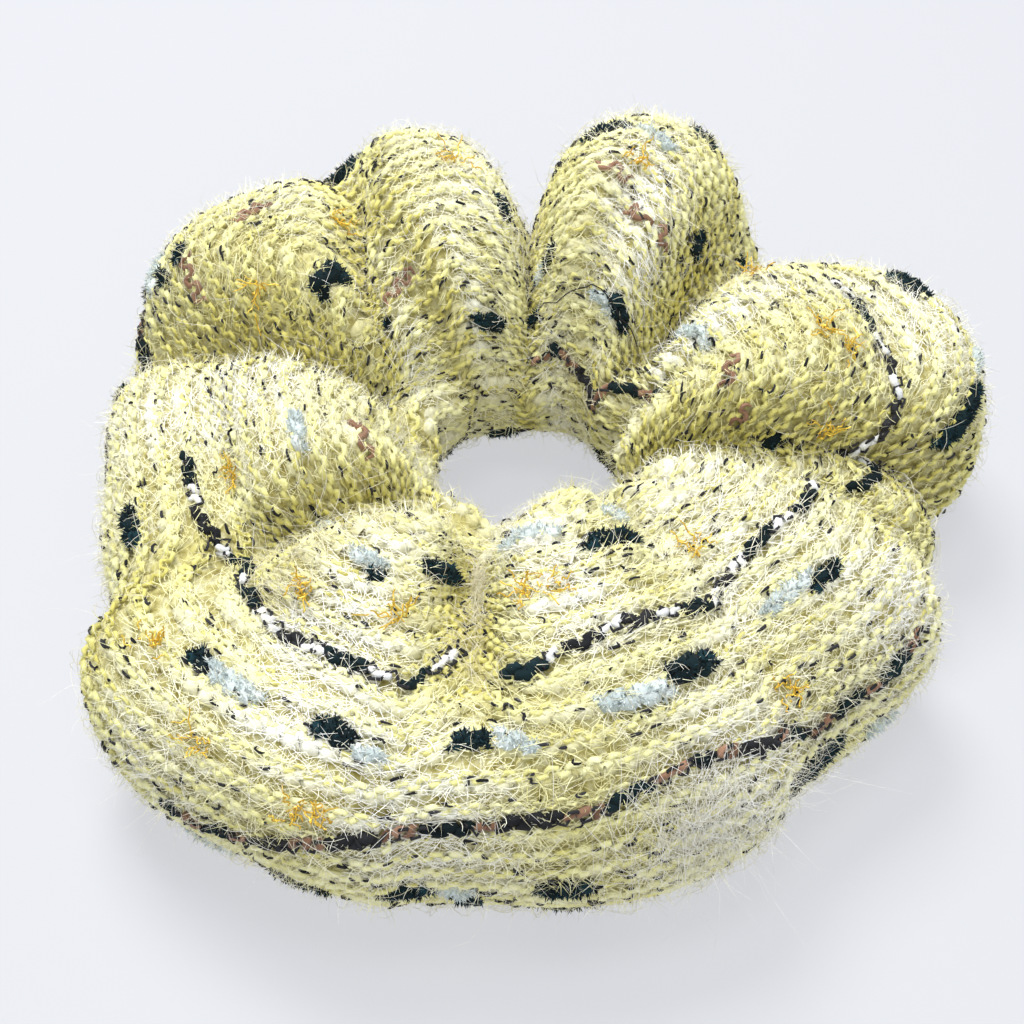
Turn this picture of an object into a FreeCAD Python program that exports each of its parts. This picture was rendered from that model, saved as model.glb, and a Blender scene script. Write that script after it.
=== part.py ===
"""Knitted hair scrunchie: one knitted sleeve, gathered into nine puffs round a flat elastic loop.

Units are millimetres. +Z is up and the scrunchie lies on z = 0. The sleeve is cut at its creases into one
shell per puff, because the puffs spread apart when the loop stretches. Each shell is an outer loft less an
inner loft, through ellipses that stand in radial planes round the loop's centre, and is trimmed flat where
it rests. At a crease the fabric is bunched solid round a passage for the elastic. Puffs are numbered
counter-clockwise, seen from above, from the crease with the closing seam.
"""

import FreeCAD, Part

import math
import os

from FreeCAD import Placement, Rotation, Vector

DOCUMENT = "scrunchie"

# Driving sizes that hold for the whole object.
SIZES = {
    "centre_x": -2.6,  # centre of the elastic loop, from the middle of the footprint
    "centre_y": 3.4,
    "wall": 2.6,  # thickness of the knitted fabric
    "sink": 2.0,  # how much of a puff's underside is pressed flat
    "crease_under": 5.0,  # height of a crease's lowest point above the table
    "loop_radius": 23.0,  # elastic loop, middle of its thickness, relaxed
    "loop_height": 17.0,  # middle of the elastic's width above the table
    "elastic_width": 6.0,
    "elastic_thick": 1.2,
    "lap_angle": 28.0,  # how far the elastic's sewn ends lap
    "lap_start": 264.0,
    "tack_thread": 0.5,  # thread of the bar tack through the lap
    "tack_height": 3.6,
    "tack_reach": 1.8,  # half a tack's depth through both layers
    "crease_play": 0.12,  # half the angle left free between two shells, in degrees
    "passage": 3.6,  # radius of the elastic's way through a crease
    "stitch_ring": 1.4,  # long seam's stitch over the fabric edge, middle of its yarn
    "stitch_yarn": 0.5,  # radius of the seam yarn
    "closing_yarn": 0.8,  # radius of the yarn that joins the sleeve's ends
    "closing_width": 8.4,  # half width and half height of its hoop, inside the crease
    "closing_rise": 7.0,
    "play": 0.25,  # clearance round the closing yarn
}

# One row per puff: crease angle at its start, hole-side radius, reach and rise at its middle, in mm, and the
# outer radius and top of the crease at its start. Angles run counter-clockwise from +X.
PUFFS = (
    ("start", "inner", "reach", "rise", "crease_reach", "crease_rise"),
    (256.0, 13.6, 65.5, 37.0, 62.0, 30.0),
    (300.0, 13.4, 64.0, 36.0, 61.0, 31.0),
    (339.0, 13.0, 57.0, 25.0, 46.0, 23.0),
    (355.0, 13.4, 65.0, 38.0, 45.0, 25.0),
    (400.0, 13.6, 61.0, 44.0, 40.0, 28.0),
    (447.0, 13.6, 60.0, 41.0, 40.0, 28.0),
    (484.0, 13.4, 63.0, 40.0, 54.0, 32.0),
    (524.0, 13.2, 58.0, 36.0, 50.0, 28.0),
    (575.0, 13.4, 68.0, 37.0, 60.0, 32.0),
)
CREASE_INNER = 13.0  # hole-side radius at every crease

# A puff swells quickly beside its creases: share of the way along, and share of the swell reached there.
SWELL = ((0.0, 0.0), (0.13, 0.66), (0.30, 0.93), (0.5, 1.0), (0.70, 0.93), (0.87, 0.66), (1.0, 0.0))
CAVITY = SWELL[:1] + SWELL[2:5] + SWELL[-1:]  # the hollow starts further in, behind the bunched fabric
STITCHES = ((0.30, 0.93), (0.40, 0.98), (0.50, 1.0), (0.60, 0.98), (0.70, 0.93))  # long seam, along a puff
SEAM_ANGLE = math.radians(222.0)  # where the long seam lies round a section: below, on the hole side
TACKS = 5

doc = FreeCAD.newDocument(DOCUMENT)
sheet = doc.addObject("Spreadsheet::Sheet", "Sizes")
nodes = {}


def fill_sheet():
    """Writes every driving size into the sheet, each under its own alias."""
    names, rows = PUFFS[0], PUFFS[1:]
    cells = dict(SIZES, crease_inner=CREASE_INNER)
    for number, row in enumerate(rows, 1):
        cells.update({f"{name}_{number:02d}": value for name, value in zip(names, row)})
    for line, (alias, value) in enumerate(cells.items(), 1):
        sheet.set(f"A{line}", alias.replace("_", " "))
        sheet.set(f"B{line}", str(value))
        sheet.setAlias(f"B{line}", alias)
    doc.recompute()


def size(alias):
    return float(sheet.get(alias))


def puff_count():
    return len(PUFFS) - 1


def following(number):
    """The number of the puff that comes after this one round the loop."""
    return number % puff_count() + 1


def span(number):
    """Start and end angle of a puff's shell, in degrees."""
    start = size(f"start_{number:02d}")
    end = size(f"start_{following(number):02d}")
    if end < start:
        end += 360.0
    return start + size("crease_play"), end - size("crease_play")


def radial_plane(angle, radius, height):
    """A placement whose local x points away from the loop's centre and local y points up."""
    turn = Rotation(Vector(0, 0, 1), angle) * Rotation(Vector(1, 0, 0), 90)
    there = Vector(math.cos(math.radians(angle)), math.sin(math.radians(angle)), 0) * radius
    return Placement(there + Vector(size("centre_x"), size("centre_y"), height), turn)


def mixed(number, share, swell, kind):
    """Expression for a size at this share along a puff: kind is inner, reach or rise."""
    at_start, at_end = f"{number:02d}", f"{following(number):02d}"
    if kind == "inner":
        crease = "Sizes.crease_inner"
    else:
        crease = f"(Sizes.crease_{kind}_{at_start} * {1 - share} + Sizes.crease_{kind}_{at_end} * {share})"
    return f"({crease} * {1 - swell} + Sizes.{kind}_{at_start} * {swell})"


def under(swell, inside=False):
    """Expression for the height of a section's lowest point; an inner one stays above the pressed part."""
    sunk = "" if inside else f" - Sizes.sink * {swell}"
    return f"(Sizes.crease_under * {1 - swell}{sunk})"


def section(name, number, share, swell, inside):
    """An ellipse across the sleeve: its outer face, or its inner face one wall further in."""
    start, end = span(number)
    low, high = mixed(number, share, swell, "inner"), mixed(number, share, swell, "reach")
    top, bottom = mixed(number, share, swell, "rise"), under(swell, inside)
    inset = "Sizes.wall" if inside else "0"
    ellipse = doc.addObject("Part::Ellipse", name)
    ellipse.setExpression("MajorRadius", f"({high} - {low}) / 2 - {inset}")
    ellipse.setExpression("MinorRadius", f"({top} - {bottom}) / 2 - {inset}")
    measure = {key: float(sheet.evalExpression(text)) for key, text in
               (("low", low), ("high", high), ("top", top), ("bottom", bottom))}
    ellipse.Placement = radial_plane(
        start + (end - start) * share,
        (measure["low"] + measure["high"]) / 2,
        (measure["top"] + measure["bottom"]) / 2,
    )
    return ellipse


def passage(name, angle):
    """The round opening that the elastic passes through at a crease."""
    circle = doc.addObject("Part::Ellipse", name)
    circle.setExpression("MajorRadius", "Sizes.passage")
    circle.setExpression("MinorRadius", "Sizes.passage")
    circle.Placement = radial_plane(angle, size("loop_radius"), size("loop_height"))
    return circle


def loft(name, number, inside):
    """A solid through the sections of one puff; the inner one narrows to the elastic's passage."""
    sections = []
    for place, (share, swell) in enumerate(CAVITY if inside else SWELL):
        at_crease = share in (0.0, 1.0)
        if inside and at_crease:
            sections.append(passage(f"{name}_passage_{place}", span(number)[int(share)]))
        else:
            sections.append(section(f"{name}_section_{place}", number, share, swell, inside))
    result = doc.addObject("Part::Loft", name)
    result.Sections = sections
    result.Solid = True
    return result


def labelled(part, node):
    """Names a finished sub-part, which also names its file."""
    part.Label = node
    nodes[node] = part
    return part


def cut(name, base, tool):
    result = doc.addObject("Part::Cut", name)
    result.Base, result.Tool = base, tool
    return result


def table_slab():
    """The block below z = 0 that trims the undersides flat."""
    slab = doc.addObject("Part::Box", "TableSlab")
    slab.Length = slab.Width = 200
    slab.Height = 20
    slab.Placement.Base = Vector(-100, -100, -20)
    return slab


def gather(number, slab, groove):
    """One puff of the sleeve: a hollow shell, bunched round the elastic's passage at both creases."""
    outer = loft(f"Outer{number:02d}", number, inside=False)
    inner = loft(f"Inner{number:02d}", number, inside=True)
    puff = cut(f"Shell{number:02d}", outer, inner)
    if number in (1, puff_count()):
        puff = cut(f"Grooved{number:02d}", puff, groove)
    return labelled(cut(f"Gather{number:02d}", puff, slab), f"gather_{number:02d}")


def seam_stitches(number):
    """Whip stitches of the long seam, which lies inside the sleeve: rings half sunk in the fabric."""
    start, end = span(number)
    rings = []
    for place, (share, swell) in enumerate(STITCHES):
        low, high, top = (
            float(sheet.evalExpression(mixed(number, share, swell, kind))) for kind in ("inner", "reach", "rise")
        )
        bottom = float(sheet.evalExpression(under(swell, inside=True)))
        wall = size("wall")
        radius = (low + high) / 2 + ((high - low) / 2 - wall) * math.cos(SEAM_ANGLE)
        height = (top + bottom) / 2 + ((top - bottom) / 2 - wall) * math.sin(SEAM_ANGLE)
        ring = doc.addObject("Part::Torus", f"Stitch{number:02d}_{place}")
        ring.setExpression("Radius1", "Sizes.stitch_ring")
        ring.setExpression("Radius2", "Sizes.stitch_yarn")
        lowest = size("stitch_ring") + size("stitch_yarn")
        ring.Placement = radial_plane(start + (end - start) * share, radius, max(height, lowest))
        rings.append(ring)
    group = doc.addObject("Part::Compound", f"SeamStitches{number:02d}")
    group.Links = rings
    return labelled(group, f"seam_stitches_{number:02d}")


def drum(name, radius, turn, start):
    """A solid cylinder or wedge of the elastic's width, centred on the loop."""
    body = doc.addObject("Part::Cylinder", name)
    body.setExpression("Radius", radius)
    body.setExpression("Height", "Sizes.elastic_width")
    body.setExpression("Angle", turn)
    base = Vector(size("centre_x"), size("centre_y"), size("loop_height") - size("elastic_width") / 2)
    body.Placement = Placement(base, Rotation(Vector(0, 0, 1), start))
    return body


def elastic_band():
    """Flat elastic strip closed into a loop, with one end lapped over the other."""
    middle, outer = "Sizes.loop_radius + Sizes.elastic_thick / 2", "Sizes.loop_radius + Sizes.elastic_thick * 1.5"
    loop = cut(
        "ElasticLoop",
        drum("LoopOutside", middle, "360", 0),
        drum("LoopInside", "Sizes.loop_radius - Sizes.elastic_thick / 2", "360", 0),
    )
    lap = cut(
        "ElasticLap",
        drum("LapOutside", outer, "Sizes.lap_angle", size("lap_start")),
        drum("LapInside", middle, "360", 0),
    )
    band = doc.addObject("Part::Fuse", "ElasticBand")
    band.Base, band.Tool = loop, lap
    return labelled(band, "elastic_band")


def rounded_loop(half_depth, half_height, corner):
    """A closed wire: a rectangle with round corners in the local x-y plane."""
    x, y, r = half_depth, half_height, corner
    bend = r * (1 - math.sqrt(0.5))
    edges = []
    for sx, sy in ((1, 1), (-1, 1), (-1, -1), (1, -1)):
        before, after = Vector(sx * x, sy * (y - r), 0), Vector(sx * (x - r), sy * y, 0)
        if sx * sy < 0:
            before, after = after, before
        middle = Vector(sx * (x - bend), sy * (y - bend), 0)
        edges.append((before, middle, after))
    shapes = []
    for index, (before, middle, after) in enumerate(edges):
        shapes.append(Part.Arc(before, middle, after).toShape())
        shapes.append(Part.LineSegment(after, edges[(index + 1) % 4][0]).toShape())
    return Part.Wire(shapes)


def pipe_round(path, thread_radius):
    """A thread of that radius along a closed wire."""
    first = path.Edges[0]
    start = first.valueAt(first.FirstParameter)
    along = first.tangentAt(first.FirstParameter)
    profile = Part.Wire(Part.makeCircle(thread_radius, start, along))
    return path.makePipeShell([profile], True, False)


def elastic_stitches():
    """Bar tack that holds the lap: thread loops through both layers of the elastic."""
    half_depth, half_height = size("tack_reach"), size("tack_height") / 2
    middle = size("loop_radius") + size("elastic_thick") / 2
    loops = []
    for index in range(TACKS):
        angle = size("lap_start") + size("lap_angle") * (index + 1) / (TACKS + 1)
        loop = pipe_round(rounded_loop(half_depth, half_height, half_depth * 0.6), size("tack_thread") / 2)
        loop.Placement = radial_plane(angle, middle, size("loop_height"))
        loops.append(loop)
    tack = doc.addObject("Part::Feature", "ElasticStitches")
    tack.Shape = Part.makeCompound(loops)
    return labelled(tack, "elastic_stitches")


def closing_hoop(thread_radius):
    """A hoop of that thread round the elastic's passage, in the plane of the closing crease."""
    path = Part.Wire(Part.Ellipse(Vector(0, 0, 0), size("closing_width"), size("closing_rise")).toShape())
    hoop = pipe_round(path, thread_radius)
    hoop.Placement = radial_plane(size("start_01"), size("loop_radius") + 1.0, size("loop_height"))
    return hoop


def closing_groove():
    """The room that the closing yarn takes from the two puffs beside it."""
    groove = doc.addObject("Part::Feature", "ClosingGroove")
    groove.Shape = closing_hoop(size("closing_yarn") + size("play"))
    return groove


def closing_seam():
    """The yarn that joins the sleeve's two ends, drawn up inside the crease."""
    seam = doc.addObject("Part::Feature", "ClosingSeam")
    seam.Shape = closing_hoop(size("closing_yarn"))
    return labelled(seam, "closing_seam_yarn")


def build():
    fill_sheet()
    slab = table_slab()
    groove = closing_groove()
    for number in range(1, puff_count() + 1):
        gather(number, slab, groove)
        seam_stitches(number)
    elastic_band()
    elastic_stitches()
    closing_seam()
    doc.recompute()


def check():
    """Stops before anything is written if an object failed or a sub-part isn't a sound solid."""
    for part in doc.Objects:
        if {"Invalid", "Error"} & set(part.State):
            raise RuntimeError(f"{part.Name} failed: {part.State}")
    for node, part in nodes.items():
        shape = part.Shape
        if shape.isNull() or not shape.isValid() or not shape.Solids:
            raise RuntimeError(f"{node} isn't a valid solid")
        if min(solid.Volume for solid in shape.Solids) <= 0:
            raise RuntimeError(f"{node} has a solid with no volume")


def write():
    os.makedirs("parts", exist_ok=True)
    for node, part in nodes.items():
        part.Shape.exportStep(f"parts/{node}.step")
        print(f"{node:20s} {len(part.Shape.Solids):3d} solids {part.Shape.Volume:10.1f} mm3")


build()
check()
write()
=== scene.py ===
"""Knitted hair scrunchie: look model, in the frame's own coordinates.

The sleeve's skin is one function of two numbers: the angle round the loop, and the place round the tube's
section. Knitted courses are lines of constant place, so yarn, flecks, slubs and pile all grow from it.
Everything is cut at the middles of the puffs.
"""

import math

import bpy
import numpy as np
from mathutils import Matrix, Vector


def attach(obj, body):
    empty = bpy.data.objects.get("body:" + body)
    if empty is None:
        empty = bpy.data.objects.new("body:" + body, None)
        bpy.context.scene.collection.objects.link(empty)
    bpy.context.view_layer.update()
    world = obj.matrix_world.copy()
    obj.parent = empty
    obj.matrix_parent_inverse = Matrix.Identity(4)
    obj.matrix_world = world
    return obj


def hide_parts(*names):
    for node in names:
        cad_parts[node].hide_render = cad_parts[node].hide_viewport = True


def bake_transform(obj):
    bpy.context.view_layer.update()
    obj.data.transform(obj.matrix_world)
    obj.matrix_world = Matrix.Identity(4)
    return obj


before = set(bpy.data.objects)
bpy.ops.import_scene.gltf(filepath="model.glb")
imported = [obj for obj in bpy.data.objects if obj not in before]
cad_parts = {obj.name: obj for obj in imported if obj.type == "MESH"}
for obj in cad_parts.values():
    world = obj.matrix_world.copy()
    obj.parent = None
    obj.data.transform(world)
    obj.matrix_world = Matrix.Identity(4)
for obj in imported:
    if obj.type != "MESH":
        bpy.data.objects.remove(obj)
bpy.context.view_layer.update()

MM = 0.001
TAU = 2 * math.pi

# Lengths are in mm and angles in degrees, unless a line says otherwise.
CENTRE = np.array((-2.6, 3.4))  # middle of the elastic loop
LOOP_RADIUS, LOOP_HEIGHT = 23.0, 17.0
RIM = 14.0  # hole-side radius at a crease
UNDERSIDE = 1.5  # lowest point of a puff, before the table flattens it
USUAL_SECTION = (25, 19)  # half width and half height that the courses are spaced round
FOLD_RADIUS = 38  # radius at which a fold's width is measured for its shade
DARK_DEPTH = 9  # a fold this deep gets the full painted shade all the way in
CREASE_WIDTH = 4.5  # of the shade beside a crease
LUMP, PUCKER = 1.1, 1.5  # how far the skin wanders in and out, all over and along the rim
SEAM_PLACE = 222.0  # place of the long seam round the section, below on the hole side
PLACES = 38  # places round the section are counted in 38ths, from the outward side up and over
COURSES = 44  # knitted courses round the tube
WALE = 2.4  # length along a course of one stitch
FLECK_EVERY = 4.4  # length along a course to each black fleck
SLUBS_BELOW, SLUBS_BEHIND = 46, 9  # how many slubs are scattered where none is listed
GOLD_THREADS, GOLD_POINTS = 14, 9  # threads in a tuft, and points along each
LYING_HAIRS, STANDING_HAIRS = 7000, 5500
FLUFF_PER_MM = 42.0

# One row per puff, starting at the closing seam. Crease at its start: angle, low, reach, rise. Puff: inner
# radius, reach, rise, and where along it the crown lies.
PUFFS = (
    (256, 0.5, 68, 33, 12.4, 66.0, 37, 0.50),
    (300, 0.5, 61, 32, 12.6, 60.5, 35, 0.60),
    (339, 3.0, 47, 21, 14.0, 57.0, 24, 0.50),
    (355, 3.0, 46, 25, 15.0, 66.0, 37, 0.40),
    (400, 5.0, 40, 29, 15.5, 60.0, 45, 0.55),
    (447, 5.0, 40, 28, 15.5, 59.0, 42, 0.66),
    (484, 1.5, 58, 38, 15.0, 62.5, 39, 0.52),
    (524, 3.0, 57, 28, 14.2, 57.0, 36, 0.62),
    (575, 1.5, 65, 34, 12.6, 69.0, 36, 0.42),
)

# Folds pressed into the skin across the courses: angle at the rim, angle outside, middle and half range
# round the section, depth and width.
FOLDS = (
    (253, 264, 112, 70, 18.0, 4.2),
    (300, 303, 140, 50, 5.0, 3.0),
    (338, 342, 100, 90, 9.0, 4.4),
    (226, 217, 112, 62, 15.0, 4.6),
    (158, 163, 90, 90, 11.0, 5.0),
    (150, 121, 100, 75, 10.0, 4.4),
    (84, 89, 100, 90, 8.0, 4.0),
    (32, 47, 80, 80, 10.0, 4.8),
    (196, 192, 138, 42, 3.5, 3.0),
    (176, 178, 140, 42, 3.5, 3.0),
    (236, 238, 140, 36, 3.0, 3.0),
    (274, 277, 142, 36, 3.0, 3.0),
    (318, 316, 140, 38, 3.0, 3.0),
    (14, 12, 140, 40, 3.5, 3.0),
    (60, 64, 140, 42, 3.0, 3.0),
    (106, 104, 140, 42, 3.5, 3.0),
    (130, 132, 142, 40, 3.0, 3.0),
)

# Grooves pressed in along the courses: first and last angle, place round the section at each, depth, and
# width in degrees.
GROOVES = (
    (168, 252, 66, 62, 7.5, 18),
    (352, 396, 64, 60, 3.5, 14),
)

# How far the courses wander round the section: angle, and shift in courses.
DRIFT = (
    (0, 0.0), (18, 0.5), (45, 0.2), (90, 0.6), (140, 0.0), (180, 0.3), (232, -0.3), (265, 0.2),
    (296, 0.8), (325, 0.3), (345, -0.3),
)


def smooth(low, high, x):
    t = np.clip((x - low) / (high - low), 0, 1)
    return t * t * (3 - 2 * t)


def unit(v):
    return v / (np.linalg.norm(v, axis=-1, keepdims=True) + 1e-9)


def off_by(angle, other):
    """How far an angle is from another one, from -180 to 180."""
    return (angle - other + 180) % 360 - 180


def at_polar(r, theta, z):
    """Points at radius r and angle theta round the loop's middle, at height z."""
    a = np.radians(theta)
    return np.stack(np.broadcast_arrays(CENTRE[0] + r * np.cos(a), CENTRE[1] + r * np.sin(a), z), -1)


def oval(phi, power=2.3):
    """Cosine and sine of a rounded-off box: the outline of a soft section."""
    c, s = np.cos(phi), np.sin(phi)
    k = (np.abs(c) ** power + np.abs(s) ** power) ** (-1 / power)
    return c * k, s * k


def waves(theta, phi, seed, count=7, fewest=2, most=15):
    """Smooth wandering between about -1 and 1, periodic both ways; fewest to most waves go round the loop."""
    rng = np.random.default_rng(seed)
    total = 0
    for _ in range(count):
        a, b = rng.integers(fewest, most), rng.integers(-4, 5)
        total = total + np.sin(a * np.radians(theta) + b * phi + rng.uniform(0, TAU)) * rng.uniform(0.5, 1)
    return total / count * 1.6


def drift(theta):
    """Shift of the courses at an angle, in courses, smooth and periodic."""
    places = np.array([p for p, _ in DRIFT] + [DRIFT[0][0] + 360], float)
    shifts = np.array([d for _, d in DRIFT] + [DRIFT[0][1]])
    around = np.asarray(theta, float) % 360
    i = np.clip(np.searchsorted(places, around, side="right") - 1, 0, len(places) - 2)
    t = smooth(0, 1, (around - places[i]) / (places[i + 1] - places[i]))
    return shifts[i] * (1 - t) + shifts[i + 1] * t


def fold_line(rim_angle, out_angle, middle, spread, degrees):
    """A fold's angle at places round the section, and how strong the fold is there, from 0 to 1."""
    angle = rim_angle + (out_angle - rim_angle) * smooth(150, 40, degrees)
    return angle, np.clip(1 - (off_by(degrees, middle) / spread) ** 2, 0, 1)


def cleft(theta, phi):
    """How deep in a fold or a crease a place is, from 0 to 1; it sets the shade painted into yarn and fluff
    tints.
    """
    degrees = np.degrees(phi) % 360
    deep = np.zeros(np.shape(theta))
    for *line, depth, width in FOLDS:
        angle, strength = fold_line(*line, degrees)
        away = np.radians(off_by(theta, angle)) * FOLD_RADIUS
        deep = np.maximum(deep, strength * np.exp(-((away / width) ** 2)) * depth / DARK_DEPTH)
    for angle, *_ in PUFFS[2:]:
        away = np.radians(off_by(theta, angle)) * FOLD_RADIUS
        deep = np.maximum(deep, 0.8 * np.exp(-((away / CREASE_WIDTH) ** 2)))
    return np.clip(deep, 0, 1)


def section_angle(v):
    """Angle round the section for a share v of its length: 0 is outward, then up and over to the hole."""
    phi = np.linspace(0, TAU, 721)
    c, s = oval(phi)
    x, y = USUAL_SECTION[0] * c, USUAL_SECTION[1] * s
    length = np.concatenate(([0], np.cumsum(np.hypot(np.diff(x), np.diff(y)))))
    v = np.asarray(v, float)
    return np.interp(v % 1.0, length / length[-1], phi) + TAU * np.floor(v)


def skin(theta, phi):
    """Points of the sleeve's skin: theta in degrees round the loop, phi in radians round the section."""
    theta, phi = np.broadcast_arrays(np.asarray(theta, float), np.asarray(phi, float))
    around = (theta - PUFFS[0][0]) % 360 + PUFFS[0][0]
    degrees = np.degrees(phi) % 360
    c, s = oval(phi)
    r, z = np.zeros(theta.shape), np.zeros(theta.shape)
    for puff, after in zip(PUFFS, PUFFS[1:] + ((PUFFS[0][0] + 360,) + PUFFS[0][1:],)):
        here = (around >= puff[0]) & (around < after[0])
        t = (around[here] - puff[0]) / (after[0] - puff[0])
        ch, sh = c[here], s[here]
        _, low0, reach0, rise0, inner, reach, rise, crown = puff
        low, c_reach, c_rise = (a * (1 - t) + b * t for a, b in zip((low0, reach0, rise0), after[1:4]))
        blunt = 2.5 - 0.6 * np.clip(sh, 0, 1)
        swell = (1 - np.abs(2 * t ** (math.log(0.5) / math.log(crown)) - 1) ** blunt) ** (1 / 1.7)
        crease_r = (c_reach + RIM) / 2 + (c_reach - RIM) / 2 * ch
        crease_z = (c_rise + low) / 2 + (c_rise - low) / 2 * sh
        puff_r = (reach + inner) / 2 + (reach - inner) / 2 * ch
        puff_z = (rise - UNDERSIDE) / 2 + (rise + UNDERSIDE) / 2 * sh
        r[here] = crease_r + (puff_r - crease_r) * swell
        z[here] = crease_z + (puff_z - crease_z) * swell
    for *line, depth, width in FOLDS:
        angle, strength = fold_line(*line, degrees)
        away = np.radians(off_by(around, angle)) * r
        press = depth * strength * np.exp(-((np.abs(away) / width) ** 2.2))
        to_r, to_z = LOOP_RADIUS - r, LOOP_HEIGHT - z
        reach_in = np.hypot(to_r, to_z) + 1e-6
        share = np.minimum(press, reach_in * 0.8) / reach_in
        r, z = r + to_r * share, z + to_z * share
    for start, end, place0, place1, depth, width in GROOVES:
        t = (theta - start) % 360 / (end - start)
        along = np.where(t < 1, np.sin(np.pi * np.clip(t, 0, 1)) ** 0.6, 0)
        off_place = off_by(degrees, place0 + (place1 - place0) * t)
        press = depth * along * np.exp(-((off_place / width) ** 2))
        to_r, to_z = LOOP_RADIUS + 8 - r, LOOP_HEIGHT - z
        share = press / (np.hypot(to_r, to_z) + 1e-6)
        r, z = r + to_r * share, z + to_z * share
    puckers = PUCKER * waves(theta, phi, 23, 9, 14, 30) * np.clip(1 - ((degrees - 120) / 60) ** 2, 0, 1)
    lumps = LUMP * waves(theta, phi, 11, 9) * smooth(0, 12, z) + puckers
    r, z = r + lumps * np.cos(phi), z + lumps * np.sin(phi) * 0.7
    return at_polar(r, theta, np.maximum(z, 0.0))


# Stretches: pieces run from the middle of one puff to the middle of the next ------------------------------

MIDDLES = [(p[0] + q) / 2 for p, q in zip(PUFFS, [p[0] for p in PUFFS[1:]] + [PUFFS[0][0] + 360])]
MIDDLES.append(MIDDLES[0] + 360)
STRETCHES = range(9)


def stretch_of(theta):
    """Which stretch an angle lies in, 0 to 8."""
    around = (np.asarray(theta) - MIDDLES[0]) % 360 + MIDDLES[0]
    return np.clip(np.searchsorted(MIDDLES, around, side="right") - 1, 0, 8)


def blend(piece, stretch):
    """Bakes a piece's placement into its points; the angles it works out round the stretch are not used."""
    low, high = MIDDLES[stretch], MIDDLES[stretch + 1]
    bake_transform(piece)
    co = np.zeros(len(piece.data.vertices) * 3, np.float32)
    piece.data.vertices.foreach_get("co", co)
    co = co.reshape(-1, 3) / MM
    angle = np.degrees(np.arctan2(co[:, 1] - CENTRE[1], co[:, 0] - CENTRE[0]))
    middle = (low + high) / 2
    angle = middle + off_by(angle, middle)


# Meshes ---------------------------------------------------------------------------------------------------


def new_mesh(name, parts):
    """A smooth-shaded object from parts, each (points in mm, quads, tint per point, material)."""
    mesh = bpy.data.meshes.new(name)
    points, quads, tints, slots = [], [], [], []
    base = 0
    for index, (part_points, part_quads, tint, material) in enumerate(parts):
        points.append(part_points)
        quads.append(part_quads + base)
        tints.append(tint)
        slots.append(np.full(len(part_quads), index))
        base += len(part_points)
        mesh.materials.append(material)
    points, quads, tints, slots = (np.concatenate(a) for a in (points, quads, tints, slots))
    mesh.vertices.add(len(points))
    mesh.vertices.foreach_set("co", (points * MM).astype(np.float32).ravel())
    mesh.loops.add(quads.size)
    mesh.loops.foreach_set("vertex_index", quads.astype(np.int32).ravel())
    mesh.polygons.add(len(quads))
    mesh.polygons.foreach_set("loop_start", (np.arange(len(quads)) * 4).astype(np.int32))
    mesh.polygons.foreach_set("material_index", slots.astype(np.int32))
    mesh.polygons.foreach_set("use_smooth", np.ones(len(quads), bool))
    mesh.update(calc_edges=True)
    mesh.attributes.new("tint", "FLOAT", "POINT").data.foreach_set("value", tints.astype(np.float32))
    thing = bpy.data.objects.new(name, mesh)
    bpy.context.scene.collection.objects.link(thing)
    return thing


def tubes(chunks, sides):
    """Points, quads and tints of strands, round or, with two sides, flat and facing up.

    A chunk is (points, up, radius, tint, points in each strand).
    """
    p, up, radius, tint, lengths = (np.concatenate([c[k] for c in chunks]) for k in range(5))
    starts = np.concatenate(([0], np.cumsum(lengths)))[:-1]
    last = starts + lengths - 1
    ahead, behind = np.roll(p, -1, 0), np.roll(p, 1, 0)
    ahead[last], behind[starts] = p[last], p[starts]
    t = unit(ahead - behind)
    u = unit(up - (up * t).sum(-1, keepdims=True) * t)
    w = np.cross(t, u)
    a = (np.arange(sides) + (0.5 if sides == 2 else 0)) * TAU / sides
    spoke = np.cos(a)[None, :, None] * u[:, None, :] + np.sin(a)[None, :, None] * w[:, None, :]
    ring = p[:, None, :] + radius[:, None, None] * spoke
    ring[..., 2] = np.maximum(ring[..., 2], 0.05)
    joined = np.ones(len(p), bool)
    joined[last] = False
    i = np.flatnonzero(joined)[:, None] * sides
    k = np.arange(1 if sides == 2 else sides)
    k1 = (k + 1) % sides
    quads = np.stack((i + k, i + k1, i + sides + k1, i + sides + k), -1).reshape(-1, 4)
    return ring.reshape(-1, 3), quads, np.repeat(tint, sides)


# Materials ------------------------------------------------------------------------------------------------


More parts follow.
